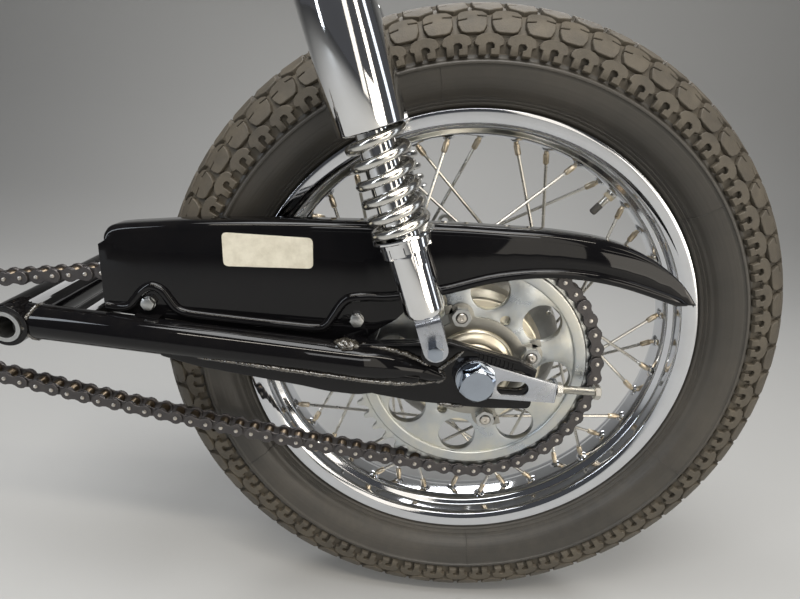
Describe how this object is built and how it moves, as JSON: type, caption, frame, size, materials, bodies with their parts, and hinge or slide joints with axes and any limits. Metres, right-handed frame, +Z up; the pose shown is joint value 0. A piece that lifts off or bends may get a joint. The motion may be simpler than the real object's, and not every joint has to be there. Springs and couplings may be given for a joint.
{
  "type": "motorcycle rear swingarm and wheel assembly",
  "caption": "Motorcycle rear swingarm with spoked wheel, tyre, chain and sprockets, chain guard, drum brake and chromed shock absorbers.",
  "frame": {"origin": "middle of the swingarm pivot bore", "axes": "+X to the motorcycle's rear, +Y to its right along the pivot, +Z up"},
  "size_m": [0.9178, 0.3074, 0.72],
  "materials": {
    "tyre_rubber": "matt",
    "chrome": "polished",
    "black_paint": "gloss",
    "zinc_steel": "satin",
    "cast_alloy": "satin",
    "chain_steel": "satin",
    "label_film": "matt"
  },
  "bodies": {
    "swingarm": {"drive_chain": "chain_steel", "gearbox_sprocket": "zinc_steel", "pivot_tube": "black_paint", "pivot_bush": "zinc_steel", "arms": "black_paint", "axle_plates": "black_paint", "cross_tube": "black_paint", "axle": "zinc_steel", "axle_nut": "chrome", "axle_spacers": "zinc_steel", "chain_adjusters": "zinc_steel", "adjuster_bolts": "zinc_steel", "shock_clevises": "zinc_steel", "shock_bolts": "zinc_steel", "shock_bodies": "chrome", "spring_seats": "chrome", "preload_cams": "chrome", "shock_rods": "chrome", "springs": "chrome", "shrouds": "chrome", "shock_eyes": "zinc_steel", "chain_guard": "black_paint", "guard_brackets": "black_paint", "guard_bolts": "zinc_steel", "label": "label_film", "brake_plate": "cast_alloy", "brake_lever": "zinc_steel", "torque_rod": "zinc_steel", "torque_bolts": "zinc_steel", "torque_bracket": "black_paint"},
    "wheel": {"tyre": "tyre_rubber", "rim": "chrome", "spokes": "zinc_steel", "nipples": "zinc_steel", "hub": "cast_alloy", "wheel_bearings": "zinc_steel", "valve": "tyre_rubber", "rear_sprocket": "zinc_steel", "lock_plate": "zinc_steel", "sprocket_carrier": "cast_alloy", "sprocket_nuts": "zinc_steel"}
  },
  "joints": [
    {"name": "wheel_spin", "type": "hinge", "parent": "swingarm", "child": "wheel", "pos_m": [0.44, 0, -0.021], "axis": [0, 1, 0], "continuous": true}
  ]
}
